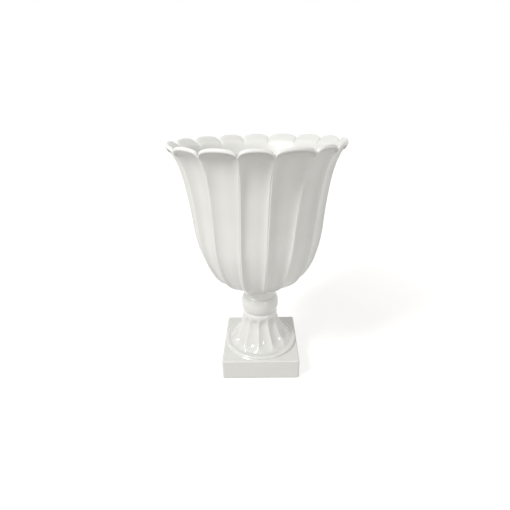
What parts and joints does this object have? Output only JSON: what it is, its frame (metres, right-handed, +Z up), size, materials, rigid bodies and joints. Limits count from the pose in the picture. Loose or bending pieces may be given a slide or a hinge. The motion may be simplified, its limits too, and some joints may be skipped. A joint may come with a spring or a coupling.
{
  "type": "footed vase",
  "caption": "White glazed ceramic urn vase: a petal-fluted bowl with a scalloped rim on a collar, knop, fluted bell foot and square plinth.",
  "frame": {"origin": "centre of the four pads' footprint, on the plane that the vase rests on", "axes": "+Z up along the axis of the vase, -Y towards the viewer of the picture, square with the plinth's sides"},
  "size_m": [0.205, 0.205, 0.3052],
  "materials": {
    "bowl_glaze": "soft gloss white glaze",
    "stem_glaze": "gloss white glaze",
    "plinth_glaze": "soft gloss white glaze",
    "pad": "translucent matt silicone"
  },
  "bodies": {
    "root": {"bowl": "bowl_glaze", "collar": "stem_glaze", "knop": "stem_glaze", "foot": "stem_glaze", "plinth": "plinth_glaze", "pad_front_left": "pad", "pad_front_right": "pad", "pad_back_left": "pad", "pad_back_right": "pad"}
  },
  "joints": []
}
